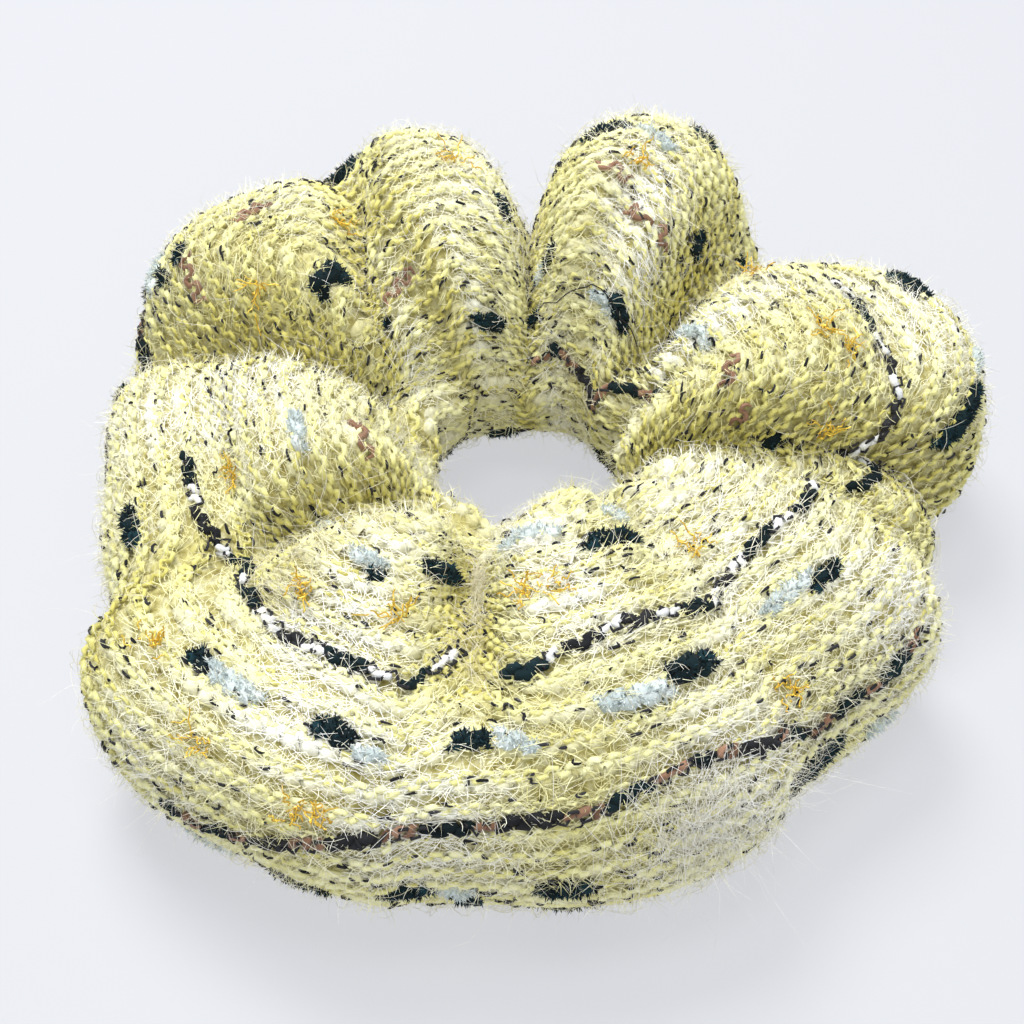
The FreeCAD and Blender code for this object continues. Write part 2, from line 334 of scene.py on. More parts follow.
def fibre(name, stops, scale=900.0, bump=0.3, rough=0.9, sheen=0.25, metallic=0.0, own=0.75):
    """Fibrous cloth: colours from stops, mixed by noise and the strand's tint, with a fine fibre bump; tints
    scaled down in folds and creases bring painted shade into it.
    """
    m = bpy.data.materials.new(name)
    m.use_nodes = True
    nodes, links = m.node_tree.nodes, m.node_tree.links
    shader = nodes["Principled BSDF"]
    where = nodes.new("ShaderNodeTexCoord")
    noise = nodes.new("ShaderNodeTexNoise")
    noise.inputs["Scale"].default_value = scale
    noise.inputs["Detail"].default_value = 3.0
    links.new(where.outputs["Object"], noise.inputs["Vector"])
    tint = nodes.new("ShaderNodeAttribute")
    tint.attribute_name = "tint"
    part = nodes.new("ShaderNodeMath")
    part.operation = "MULTIPLY"
    part.inputs[1].default_value = 1.05 - own
    links.new(noise.outputs["Fac"], part.inputs[0])
    total = nodes.new("ShaderNodeMath")
    total.operation = "MULTIPLY_ADD"
    total.inputs[1].default_value = own
    links.new(tint.outputs["Fac"], total.inputs[0])
    links.new(part.outputs[0], total.inputs[2])
    ramp = nodes.new("ShaderNodeValToRGB")
    while len(ramp.color_ramp.elements) < len(stops):
        ramp.color_ramp.elements.new(0.5)
    for element, (place, colour) in zip(ramp.color_ramp.elements, stops):
        element.position = place
        element.color = (*colour, 1)
    links.new(total.outputs[0], ramp.inputs["Fac"])
    links.new(ramp.outputs["Color"], shader.inputs["Base Color"])
    fine = nodes.new("ShaderNodeTexNoise")
    fine.inputs["Scale"].default_value = scale * 3
    fine.inputs["Detail"].default_value = 4.0
    links.new(where.outputs["Object"], fine.inputs["Vector"])
    lift = nodes.new("ShaderNodeBump")
    lift.inputs["Strength"].default_value = bump
    lift.inputs["Distance"].default_value = 0.0004
    links.new(fine.outputs["Fac"], lift.inputs["Height"])
    links.new(lift.outputs["Normal"], shader.inputs["Normal"])
    shader.inputs["Roughness"].default_value = rough
    shader.inputs["Metallic"].default_value = metallic
    shader.inputs["Sheen Weight"].default_value = sheen
    shader.inputs["Specular IOR Level"].default_value = 0.5 if metallic else 0.15
    return m


# In the cream, yellow and fluff ramps the darkest stops are reached mostly where folds and creases scale the
# tint down: painted shade.
LOOKS = {
    # Sleeve under the yarn: its dark olive is partly the cloth's colour and partly painted shade between the
    # courses.
    "felt_and_shade": fibre(
        "felt_and_shade",
        ((0.3, (0.26, 0.22, 0.06)), (0.5, (0.52, 0.47, 0.18)), (0.7, (0.70, 0.67, 0.42))),
        700, 1.0, own=0.0,
    ),
    "cream": fibre(
        "cream_yarn",
        ((0.0, (0.16, 0.13, 0.03)), (0.2, (0.55, 0.50, 0.17)),
         (0.5, (0.76, 0.73, 0.44)), (0.9, (0.92, 0.92, 0.82))),
    ),
    "yellow": fibre(
        "yellow_yarn",
        ((0.0, (0.18, 0.15, 0.03)), (0.2, (0.64, 0.58, 0.15)),
         (0.5, (0.85, 0.82, 0.36)), (1.0, (0.95, 0.94, 0.62))),
    ),
    "fluff": fibre(
        "fluff",
        ((0.0, (0.22, 0.18, 0.05)), (0.15, (0.70, 0.65, 0.28)), (0.35, (0.90, 0.87, 0.50)),
         (0.6, (0.94, 0.92, 0.72)), (0.9, (0.97, 0.97, 0.95))),
        300, 0.05,
    ),
    "black": fibre("black_thread", ((0.0, (0.008, 0.009, 0.011)), (1.0, (0.05, 0.05, 0.055))), sheen=0.02),
    "dark": fibre(
        "dark_slub",
        ((0.0, (0.004, 0.008, 0.010)), (0.6, (0.008, 0.022, 0.026)), (1.0, (0.02, 0.08, 0.11))),
        sheen=0.02,
    ),
    "blue": fibre(
        "pale_blue_slub",
        ((0.0, (0.38, 0.46, 0.46)), (0.6, (0.62, 0.69, 0.68)), (1.0, (0.88, 0.90, 0.89))),
    ),
    "rust": fibre("rust_thread", ((0.0, (0.12, 0.055, 0.03)), (1.0, (0.38, 0.22, 0.14)))),
    "gold": fibre(
        "gold_thread",
        ((0.0, (0.64, 0.38, 0.03)), (1.0, (1.0, 0.74, 0.12))),
        rough=0.3, sheen=0.0, metallic=0.6,
    ),
    "white": fibre("white_fluff", ((0.0, (0.60, 0.62, 0.63)), (1.0, (0.92, 0.92, 0.92)))),
    "hair": fibre(
        "mohair",
        ((0.0, (0.62, 0.54, 0.30)), (0.4, (0.86, 0.82, 0.62)), (1.0, (0.97, 0.97, 0.93))),
        300, 0.05,
    ),
    "braid": fibre("elastic_braid", ((0.0, (0.60, 0.60, 0.58)), (1.0, (0.92, 0.92, 0.90))), 2500, 0.9),
    "tack": fibre("tack_thread", ((0.2, (0.62, 0.60, 0.54)), (0.8, (0.90, 0.88, 0.82))), 3000, 0.6, own=0.0),
}


# Courses --------------------------------------------------------------------------------------------------


def follow(via, theta):
    """Courses at angles for a line that passes through via, rows of (angle, course)."""
    angles, places = np.array(via, float).T
    middle = (angles[0] + angles[-1]) / 2
    return np.interp(middle + off_by(np.asarray(theta), middle), angles, places)


class Course:
    """One line along the sleeve, a knitted course or a line through given places, measured in mm."""

    def __init__(self, number, via=None):
        self.number = number
        self.theta = np.linspace(PUFFS[0][0], PUFFS[0][0] + 360, 2881)
        v = (number + drift(self.theta) if via is None else follow(via, self.theta)) / PLACES
        self.p = skin(self.theta, section_angle(v))
        step = 0.5 / COURSES
        across = skin(self.theta, section_angle(v + step)) - skin(self.theta, section_angle(v - step))
        self.pitch = np.linalg.norm(across, axis=-1)
        self.t = unit(np.gradient(self.p, axis=0))
        self.n = unit(np.cross(self.t, across))
        self.b = np.cross(self.n, self.t)
        self.s = np.concatenate(([0], np.cumsum(np.linalg.norm(np.diff(self.p, axis=0), axis=-1))))
        self.length = self.s[-1]

    def place(self, theta):
        """Length along the course at an angle."""
        return np.interp((theta - PUFFS[0][0]) % 360 + PUFFS[0][0], self.theta, self.s)

    def at(self, s):
        """Place, tangent, across, normal, pitch and angle at lengths s, which may run past either end."""
        s = np.asarray(s) % self.length

        def pick(a):
            return np.stack([np.interp(s, self.s, a[:, i]) for i in range(3)], -1)

        frame_here = (unit(pick(self.t)), unit(pick(self.b)), unit(pick(self.n)))
        return (pick(self.p), *frame_here, np.interp(s, self.s, self.pitch), np.interp(s, self.s, self.theta))


def knit(course, s, height=0.0, side=0.0, phase=0.0, swing=0.3, depth=0.3):
    """A strand knitted along a course: it swings across the course once a stitch, and in and out twice."""
    p, t, b, n, pitch, theta = course.at(s)
    turn = TAU * s / WALE + phase
    half = swing * np.clip(pitch, 0.6, 4.4)
    side_way = half * np.cos(turn) + side * np.clip(pitch, 0.6, 4.4)
    along = 0.14 * WALE * np.sin(2 * turn)
    out = height + depth * np.cos(2 * turn)
    path = p + b * side_way[:, None] + t * along[:, None] + n * out[:, None]
    path[:, 2] = np.maximum(path[:, 2], 0.35)
    return path, n, theta


class Store:
    """Strands by kind and stretch."""

    def __init__(self):
        self.chunks = {}

    def keep(self, kind, stretch, chunk):
        self.chunks.setdefault((kind, int(stretch)), []).append(chunk)

    def add(self, kind, path, up, radius, tint, theta):
        """One strand, cut where it passes from one stretch to the next."""
        size = len(path)
        radius, tint = np.broadcast_to(radius, size), np.broadcast_to(tint, size)
        stretch = stretch_of(theta)
        for i in np.split(np.arange(size), np.flatnonzero(np.diff(stretch)) + 1):
            whose = stretch[i[0]]
            if i[-1] + 1 < size:
                i = np.append(i, i[-1] + 1)
            if len(i) > 1:
                self.keep(kind, whose, (path[i], up[i], radius[i], tint[i], np.array([len(i)])))

    def add_many(self, kind, paths, up, radius, tint, theta):
        """Many short strands with as many points each: each stays whole in its own stretch."""
        count, size = paths.shape[:2]
        stretch = stretch_of(theta)
        radius = np.broadcast_to(radius, (count, size))
        for k in STRETCHES:
            m = stretch == k
            if m.any():
                flat = paths[m].reshape(-1, 3)
                chunk = (flat, np.repeat(up[m], size, 0), radius[m].ravel(), np.repeat(tint[m], size))
                self.keep(kind, k, (*chunk, np.full(m.sum(), size)))

    def part(self, kind, stretch, sides=5):
        group = self.chunks.get((kind, stretch))
        return [(*tubes(group, sides), LOOKS[kind])] if group else []


def white_patches(theta, number):
    """Where the mixed yarn is whiter, above 0, or yellower, below 0."""
    total = waves(theta, np.full(np.shape(theta), number * TAU / PLACES), 5, 9)
    for angle, place, broad, high in PALE:
        away = off_by(theta, angle) / broad
        total = total + 0.9 * np.exp(-(away**2) - ((number + drift(theta) - place) / high) ** 2)
    return total


def noise_along(rng, s, step):
    """Smooth random values between 0 and 1 along lengths s, one every step mm."""
    knots = np.arange(0, s[-1] + 2 * step, step)
    return np.interp(s, knots, rng.uniform(0, 1, len(knots)))


def covered(number, theta):
    """True where a stripe takes the place of a course's own yarn."""
    hidden = np.zeros(len(theta), bool)
    for via, _ in STRIPES:
        off = number + drift(theta) - follow(via, theta)
        hidden |= ((theta - via[0][0]) % 360 < via[-1][0] - via[0][0]) & (np.abs(off) < 0.45)
    return hidden


def body_yarn(store, courses, rng):
    """The lofty cream ply and the thin yellow ply of every course, its short black flecks and its fluff."""
    for course in courses:
        s = np.arange(0, course.length + WALE / 12, WALE / 6)
        start = rng.uniform(0, TAU)
        lofty, bright = noise_along(rng, s, 4.0), noise_along(rng, s, 3.0)
        path, up, theta = knit(course, s, 0.05, -0.12, start, 0.10, 0.20)
        hidden = covered(course.number, theta)
        # Painted shade: light falls towards 0.1 in folds and creases and scales both plies' tints down; it also
        # thins the cream ply there.
        light = 1 - 0.9 * cleft(theta, section_angle(course.number / PLACES))
        wide = np.clip(course.at(s)[4] / 3.2, 0.7, 1.7)
        thick = np.minimum((0.60 + 0.36 * lofty) * wide, 1.15) * np.where(hidden, 0.6, 0.6 + 0.4 * light)
        tint = np.clip((0.18 + 0.64 * lofty + 0.36 * white_patches(theta, course.number)) * light, 0, 1)
        store.add("cream", path, up, thick, tint, theta)
        path, up, theta = knit(course, s, 0.78, 0.08, start + 0.9, 0.15, 0.22)
        thick = (0.28 + 0.24 * bright) * np.where(hidden, 0.5, 1)
        store.add("yellow", path, up, thick, (0.1 + 0.9 * bright) * light, theta)
        for at in rng.uniform(0, course.length, int(course.length / FLECK_EVERY)):
            run = rng.uniform(0.3, 1.5)
            s_run = at + np.linspace(0, run, 6)
            side, phase, swing = rng.uniform(-0.4, 0.4), rng.uniform(0, TAU), rng.uniform(0, 0.15)
            path, up, theta = knit(course, s_run, 1.2, side, phase, swing, 0.2)
            thick = np.array((0.05, 0.16, 0.20, 0.20, 0.16, 0.05)) * rng.uniform(0.7, 1.15)
            store.add("black", path, up, thick, rng.uniform(), theta)
        fluff(store, course, rng, start)


def fluff(store, course, rng, start):
    """Short curled fibres that stand out all round a course's yarn and half hide it."""
    count = int(course.length * FLUFF_PER_MM)
    s = rng.uniform(0, course.length, count)
    deep = cleft(course.at(s)[5], section_angle(course.number / PLACES))
    spread = np.clip(course.at(s)[4] / 8.0, 0.2, 1)
    kept = rng.uniform(0, 1, count) < spread * (1 - 0.85 * deep)
    s, deep, count = s[kept], deep[kept], kept.sum()
    p, t, b, n, pitch, theta = course.at(s)
    turn = TAU * s / WALE + start + 0.9
    half = np.clip(pitch, 0.6, 4.4)
    off = rng.normal(0, 0.22, count) * half + 0.17 * half * np.cos(turn)
    root = p + b * off[:, None] + n * rng.uniform(0.3, 1.2, count)[:, None]
    sides = t * rng.choice((-1, 1), count)[:, None] + b * rng.normal(0, 0.55, (count, 1))
    way = unit(sides + n * rng.uniform(-0.15, 0.35, count)[:, None])
    curl = unit(rng.normal(0, 1, (count, 3)))
    reach = (rng.uniform(0.8, 2.6, count) * (1 - 0.4 * deep))[:, None, None]
    share = np.linspace(0, 1, 4)[None, :, None]
    paths = root[:, None] + reach * (share * way[:, None] + 0.9 * share**2 * curl[:, None])
    # Painted shade: the fluff's tint is scaled down the deeper it sits in a fold or crease.
    tint = (0.54 + 0.58 * white_patches(theta, course.number) + rng.normal(0, 0.14, count)) * (1 - deep)
    tint = np.clip(tint, 0, 1)
    store.add_many("fluff", paths, n + 0.01, np.array((0.04, 0.048, 0.038, 0.012)), tint, theta)


# Coloured slubs: kind, angle, place round the section, length, thickness.
SLUBS = (
    ("dark", 204, 3.1, 6.5, 1.6), ("dark", 147, 10.8, 7.5, 1.6), ("dark", 119, 3.0, 6.5, 1.4),
    ("dark", 153, 4.8, 2.5, 1.0), ("dark", 155, 3.7, 2.5, 1.0), ("dark", 97, 10.0, 4.5, 1.2),
    ("dark", 78, 13.2, 4.5, 1.2), ("dark", 73, 7.6, 6.5, 1.2), ("dark", 59, 5.0, 4.5, 1.1),
    ("dark", 49, 7.0, 4.0, 1.3), ("dark", 46, 1.8, 3.0, 1.0), ("dark", 106, 16.2, 6.5, 1.4),
    ("dark", 82, 15.2, 3.5, 0.9), ("dark", 49, 14.8, 6.0, 1.3), ("dark", 21, 4.0, 7.0, 1.4),
    ("dark", 355, 8.0, 5.0, 1.4), ("dark", 1, 2.5, 12.0, 1.5), ("dark", 251, 10.4, 8.5, 1.5),
    ("dark", 288, 10.8, 6.0, 1.3), ("dark", 317, 5.7, 5.0, 1.1), ("dark", 291, 6.0, 6.5, 1.8),
    ("dark", 249, 4.6, 5.5, 1.6), ("dark", 230, 4.4, 3.5, 1.3), ("dark", 264, 4.4, 5.0, 1.2),
    ("dark", 172, 2.0, 2.5, 1.0), ("dark", 258, 37.1, 6.0, 1.3), ("dark", 264, 36.4, 3.0, 1.2),
    ("dark", 274, 37.5, 7.0, 1.2), ("dark", 305, 37.9, 12.0, 1.5), ("dark", 139, 13.2, 1.5, 0.7),
    ("dark", 244, 9.6, 2.5, 0.8), ("blue", 203, 10.7, 6.0, 1.2), ("blue", 235, 4.4, 9.0, 1.2),
    ("blue", 253, 4.5, 3.5, 1.0), ("blue", 269, 4.6, 5.0, 1.1), ("blue", 283, 5.6, 9.0, 1.4),
    ("blue", 55, 15.2, 4.0, 1.1), ("blue", 311, 6.1, 8.0, 1.1), ("blue", 271, 11.6, 8.0, 1.1),
    ("blue", 292, 12.0, 4.0, 1.0), ("blue", 318, 36.8, 5.0, 1.2), ("blue", 63, 8.0, 6.0, 1.1),
    ("blue", 110, 4.0, 4.0, 1.1), ("blue", 81, 12.6, 3.0, 1.0), ("blue", 9, 2.6, 4.0, 1.2),
    ("blue", 241, 10.0, 5.0, 1.1), ("blue", 263, 37.0, 4.0, 1.1), ("blue", 22, 13.0, 6.0, 1.0),
    ("blue", 218, 9.7, 4.5, 1.1), ("rust", 143, 6.7, 7.0, 0.45), ("rust", 156, 5.3, 7.5, 0.45),
    ("rust", 131, 12.8, 7.0, 0.4), ("rust", 205, 13.1, 7.0, 0.45), ("rust", 350, 17.5, 6.0, 0.4),
    ("rust", 2, 12.5, 5.0, 0.4), ("rust", 356, 11.0, 4.0, 0.4), ("rust", 67, 10.9, 5.0, 0.4),
    ("rust", 56, 11.7, 4.5, 0.45), ("rust", 50, 11.0, 4.0, 0.4),
)

# Stripes: courses wrapped with a dark thread. What they pass through, as angle and place round the section,
# and their second colour.
STRIPES = (
    (((231, -0.4), (236, -0.5), (240, 0.0), (243, 0.4), (247, 1.1), (251, 1.7), (256, 2.3), (262, 2.2),
      (270, 2.5), (277, 2.6), (281, 3.0), (287, 3.4), (292, 3.4), (300, 2.7), (305, 1.7), (312, 1.5),
      (318, 1.3), (324, 1.9)), "rust"),
    (((194, 5.2), (201, 5.0), (208, 5.0), (213, 5.4), (220, 6.1), (228, 6.4), (234, 6.1), (238, 6.1),
      (243, 6.3), (250, 6.6), (255, 6.7)), "white"),
    (((268, 6.5), (271, 6.6), (274, 7.1), (279, 7.4), (284, 7.8), (291, 7.8), (300, 7.7), (306, 7.9),
      (313, 8.1), (320, 8.1), (323, 7.9)), "white"),
    (((347, 5.9), (351, 5.0), (355, 4.4), (358, 5.0), (361, 5.6), (365, 6.1), (368, 6.6), (372, 6.8)),
     "white"),
    (((11, 15.4), (22, 16.4), (30, 17.0), (42, 18.2), (50, 18.8), (62, 18.5), (71, 18.0)), "rust"),
    (((70, 0.6), (95, 1.0), (120, 0.5), (150, 0.8), (176, 0.4)), "rust"),
    (((190, 28.0), (230, 28.4), (270, 27.8), (310, 28.2)), "white"),
    (((20, 31.0), (60, 30.6), (100, 31.2)), "rust"),
)

# Tufts of gold thread: angle and place round the section.
TUFTS = (
    (235, 8.0), (250, 8.4), (235, 2.8), (247, 2.4), (250, 2.6), (271, 9.2), (274, 9.4), (224, 4.0),
    (305, 9.4), (303, 3.7), (8, 9.4), (5, 8.3), (356, 7.0), (202, 7.5), (132, 7.6), (64, 10), (155, 8.0),
    (30, 9), (106, 9.3),
)

# Where the yarn is whitest: angle, place round the section, and how far each reaches.
PALE = (
    (124, 11.5, 9, 2.2), (143, 15.5, 9, 1.6), (187, 8.0, 8, 3.0), (218, 10.0, 6, 1.6),
    (322, 12.5, 9, 2.2), (302, 6.8, 4, 1.0), (325, 3.5, 6, 1.5), (243, 4.4, 4, 0.9),
    (290, 0.3, 6, 1.5), (20, 13.5, 7, 2.0), (62, 13.5, 5, 2.0), (236, 7.0, 4, 0.8),
    (48, 12.5, 4, 1.5), (279, 8.8, 7, 1.0), (345, 11.0, 6, 2.0),
)

# Where the hair is thicker: area (first and last angle, first and last share round the section), count,
# lying or standing, tint range, how strongly it runs across the courses, and length factor.
HAIRY = (
    # The first two areas lie in the deep folds at the front crease and near 226 degrees: their low tint range
    # darkens those hairs as painted shade.
    ((255, 267, 0.13, 0.34), 150, True, (0.0, 0.4), 0.8, 1.2),
    ((224, 238, 0.14, 0.36), 90, True, (0.0, 0.4), 0.6, 1.1),
    ((276, 299, -0.04, 0.10), 260, True, (0.85, 1.0), 0.7, 1.6),
    ((276, 304, -0.04, 0.08), 220, False, (0.85, 1.0), 0.3, 1.7),
    ((200, 330, -0.05, 0.05), 200, False, (0.6, 1.0), 0.0, 1.2),
)


def slub(store, rng, kind, theta, number, length, thick):
    """A fat bit of chenille in a course, with short spikes that give it a ragged edge."""
    course = Course(number, ((theta - 20, number), (theta + 20, number)))
    s = course.place(theta) + np.linspace(-length / 2, length / 2, max(8, int(length / 0.35)))
    share = np.linspace(-1, 1, len(s))
    body = (1 - np.abs(share) ** 3) ** 0.5
    if kind == "rust":
        path, up, angle = knit(course, s, 1.1, 0.0, rng.uniform(0, TAU), 0.28, 0.2)
        store.add(kind, path, up, thick * body + 0.03, 0.5 + 0.4 * share, angle)
        return
    path, up, angle = knit(course, s, 0.85, 0.0, rng.uniform(0, TAU), 0.14, 0.1)
    radius = 0.78 * thick * body * (1 + 0.16 * np.sin(s * 3.1 + theta)) + 0.03
    store.add(kind, path, up, radius, np.clip(0.4 + 0.5 * share * rng.choice((-1, 1)), 0, 1), angle)
    i = rng.integers(0, len(s), int(length * 45))
    out = unit(up[i] * 0.8 + rng.normal(0, 0.8, (len(i), 3)))
    from_skin, long = radius[i][:, None], rng.uniform(0.2, 1.0, (len(i), 1))
    paths = np.stack([path[i] + out * (from_skin * 0.7 + long * k) for k in (0, 0.5, 1)], 1)
    tints = rng.uniform(0, 1, len(i))
    store.add_many(kind, paths, up[i] + 0.01, np.array((0.12, 0.09, 0.02)), tints, angle[i])


def stripe(store, rng, via, second):
    """A course wrapped with dark thread: black lengths, then beads or short lengths of the second colour."""
    course = Course(via[0][1], via)
    s0 = course.place(via[0][0])
    length = (course.place(via[-1][0]) - s0) % course.length
    at = 0.0
    while at < length:
        run, gap = rng.uniform(3.0, 8.0), rng.uniform(2.0, 5.0)
        s = s0 + at + np.linspace(0, run, max(5, int(run / 0.4)))
        body = (1 - np.linspace(-1, 1, len(s)) ** 6) ** 0.5
        path, up, angle = knit(course, s, 1.0, 0.0, 0.0, 0.12, 0.15)
        kind = "dark" if rng.uniform() < 0.5 else "black"
        store.add(kind, path, up, rng.uniform(0.55, 0.85) * body + 0.02, rng.uniform(0, 0.6), angle)
        at += run
        for bead in np.arange(at + 0.6, at + gap, 1.5):
            s = s0 + bead + np.linspace(-0.8, 0.8, 7)
            path, up, angle = knit(course, s, 1.15, rng.uniform(-0.06, 0.06), bead, 0.08, 0.0)
            round_off = np.sqrt(np.maximum(0, 1 - np.linspace(-1, 1, 7) ** 2))
            path = path + (np.linspace(-0.45, 0.45, 7)[:, None] * course.at(s)[2])
            store.add(second, path, up, rng.uniform(0.48, 0.66) * round_off + 0.02, rng.uniform(0, 1), angle)
        s = s0 + at + np.linspace(-1, gap + 1, max(6, int(gap / 0.25)))
        path, up, angle = knit(course, s, 1.4, 0.0, 1.4, 0.24, 0.3)
        store.add("black", path, up, 0.22, 0.5, angle)
        at += gap


# Loose thread lying over the puffs: angle, place round the section, height over the skin.
LOOSE = (
    (78, 15.5, 1.5), (72, 15.8, 2.6), (66, 15.4, 2.2), (60, 15.0, 3.0), (54, 14.6, 3.4), (48, 14.8, 2.6),
    (43, 14.2, 2.2),
)


def loose_thread(store):
    """A pulled black thread end."""
    theta, place, height = np.array(LOOSE, float).T
    fine = np.linspace(0, len(theta) - 1, 60)
    theta, place, height = (np.interp(fine, np.arange(len(theta)), a) for a in (theta, place, height))
    phi = section_angle(place / PLACES)
    p = skin(theta, phi)
    n = unit(np.cross(skin(theta + 0.3, phi) - p, skin(theta, phi + 0.02) - p))
    path = p + n * (height + 0.25 * np.sin(fine * 3.0))[:, None]
    store.add("black", path, n + 0.01, 0.09, 0.3, theta)


def tuft(store, rng, theta, number):
    """A few curled ends of metallic thread."""
    course = Course(number, ((theta - 20, number), (theta + 20, number)))
    p, t, b, n, _, angle = (a[0] for a in course.at(np.array([course.place(theta)])))
    for _ in range(GOLD_THREADS):
        start = p + t * rng.normal(0, 1.1) + b * rng.normal(0, 0.8) + n * 1.5
        way = unit(t * rng.normal() + b * rng.normal() + n * 0.5)
        curl = unit(rng.normal(0, 1, 3))
        share = np.linspace(0, 1, GOLD_POINTS)[:, None]
        wave = 0.3 * np.sin(9 * share) * np.cross(way, curl)
        path = start + way * share * rng.uniform(1.0, 2.6) + curl * share**2 * 0.9 + wave
        up = np.broadcast_to(curl + 0.01, path.shape)
        store.add("gold", path, up, 0.10, rng.uniform(), np.full(GOLD_POINTS, angle))


def pile(store, rng, count, lying, area=(0, 360, 0, 1), tint=(0, 1), along=0.0, size=1.0):
    """Fine mohair from an area of the skin: lying hairs follow it, the others stand off it."""
    if area[1] - area[0] < 360:  # thickest in the middle of the area
        theta = rng.triangular(area[0], (area[0] + area[1]) / 2, area[1], count)
        v = rng.triangular(area[2], (area[2] + area[3]) / 2, area[3], count)
    else:
        theta, v = rng.uniform(area[0], area[1], count), rng.uniform(area[2], area[3], count)
    keep = rng.uniform(0, 1, count) < np.where((v % 1 < 0.36) | (v % 1 > 0.93), 1.0, 0.4)
    theta, v = theta[keep], v[keep]
    count, phi = len(v), section_angle(v)
    root = skin(theta, phi)
    d_theta, d_phi = skin(theta + 0.3, phi) - root, skin(theta, phi + 0.02) - root
    t, n = unit(d_theta), unit(np.cross(d_theta, d_phi))
    turn = rng.uniform(0, TAU, count)[:, None]
    side = unit(np.cos(turn) * t * (1 - along) + np.sin(turn) * np.cross(n, t))
    curl = unit(rng.normal(0, 1, (count, 3)))
    share = np.linspace(0, 1, 6)[None, :, None]
    if lying:
        reach = size * rng.uniform(3, 8, count)[:, None, None]
        arch = 1.0 + rng.uniform(0.6, 1.8, count)[:, None, None] * np.sin(np.pi * share)
        paths = root[:, None] + n[:, None] * arch + side[:, None] * reach * (share - 0.5)
        paths = paths + curl[:, None] * 0.45 * reach * (share - 0.5) ** 2
        radius = np.array((0.010, 0.026, 0.032, 0.032, 0.026, 0.008))
    else:
        reach = size * (rng.gamma(1.6, 0.9, count) + 1.0)[:, None, None]
        way = unit(n + side * rng.uniform(0.2, 1.3, count)[:, None])
        ripple = 0.14 * np.sin(6.0 * share + turn[:, None]) * np.roll(curl, 1, 1)[:, None]
        bend = 0.7 * share**2 * curl[:, None] + ripple
        paths = root[:, None] + n[:, None] * 0.6 + reach * (share * way[:, None] + bend)
        radius = np.array((0.024, 0.022, 0.020, 0.016, 0.011, 0.005))
    paths[..., 2] = np.maximum(paths[..., 2], 0.1)
    store.add_many("hair", paths, curl + 0.01, radius, rng.uniform(*tint, count), theta)


def sleeve(stretch):
    """The knitted fabric itself between two puffs' middles, as an open tube of cloth, whose dark olive is
    partly painted shade between the courses.
    """
    low, high = MIDDLES[stretch], MIDDLES[stretch + 1]
    theta = np.linspace(low, high, int((high - low) / 0.6) + 1)
    grid = skin(theta[:, None], section_angle(np.linspace(0, 1, 133)[:-1])[None, :])
    rows, columns = grid.shape[:2]
    i, j = np.meshgrid(np.arange(rows - 1), np.arange(columns), indexing="ij")
    j1 = (j + 1) % columns
    quads = np.stack((i * columns + j, (i + 1) * columns + j, (i + 1) * columns + j1, i * columns + j1), -1)
    points = grid.reshape(-1, 3)
    part = (points, quads.reshape(-1, 4), np.zeros(len(points)), LOOKS["felt_and_shade"])
    piece = new_mesh(f"sleeve_{stretch + 1:02d}", [part])
    along = np.linalg.norm(np.diff(grid, axis=0), axis=-1).sum(0).mean()
    round_it = np.linalg.norm(np.diff(np.concatenate((grid, grid[:, :1]), 1), axis=1), axis=-1).sum(1).mean()
    return piece, (float(round_it) * MM, float(along) * MM)


def ribbon(stretch):
    """The braided elastic strip inside, from one puff's middle to the next."""
    rows = 40
    theta = np.linspace(MIDDLES[stretch], MIDDLES[stretch + 1], rows)
    corners = (
        (-0.6, -2.8), (-0.6, 2.8), (-0.35, 3.0), (0.35, 3.0),
        (0.6, 2.8), (0.6, -2.8), (0.35, -3.0), (-0.35, -3.0),
    )
    ring = [at_polar(LOOP_RADIUS + off, theta, LOOP_HEIGHT + up) for off, up in corners]
    points = np.stack(ring, 1).reshape(-1, 3)
    sides = len(corners)
    i, k = np.meshgrid(np.arange(rows - 1) * sides, np.arange(sides), indexing="ij")
    k1 = (k + 1) % sides
    quads = np.stack((i + k, i + k1, i + sides + k1, i + sides + k), -1).reshape(-1, 4)
    part = (points, quads, np.full(len(points), 0.5), LOOKS["braid"])
    return new_mesh(f"elastic_{stretch + 1:02d}", [part])


def seam(stretch):
    """Whip stitches over the long seam's edge, inside the sleeve below the rim."""
    low, high = MIDDLES[stretch], MIDDLES[stretch + 1]
    theta = np.linspace(low, high, int((high - low) * 8))
    p = skin(theta, np.radians(SEAM_PLACE))
    inward = unit(at_polar(34, theta, LOOP_HEIGHT) - p)
    along = unit(np.gradient(p, axis=0))
    side = np.cross(inward, along)
    turn = np.radians(theta) * 60
    path = p + inward * (3.4 + 1.2 * np.cos(turn))[:, None] + side * (1.2 * np.sin(turn))[:, None]
    part = tubes([(path, inward, np.full(len(path), 0.4), np.full(len(path), 0.6), np.array([len(path)]))], 6)
    return new_mesh(f"long_seam_{stretch + 1:02d}", [(*part, LOOKS["cream"])])


def closing_seam():
    """The yarn drawn round inside the crease where the sleeve's two ends are sewn together."""
    turn = np.linspace(0, TAU, 241)
    theta = PUFFS[0][0] + 1.2 * np.sin(turn * 24)
    a = np.radians(theta)
    path = at_polar(LOOP_RADIUS + 1.0 + 7.0 * np.cos(turn), theta, LOOP_HEIGHT - 1.5 + 5.0 * np.sin(turn))
    up = np.stack((-np.sin(a), np.cos(a), np.zeros(len(a))), -1)
    part = tubes([(path, up, np.full(len(path), 0.6), np.full(len(path), 0.5), np.array([len(path)]))], 6)
    return new_mesh("closing_seam_stitches", [(*part, LOOKS["cream"])])


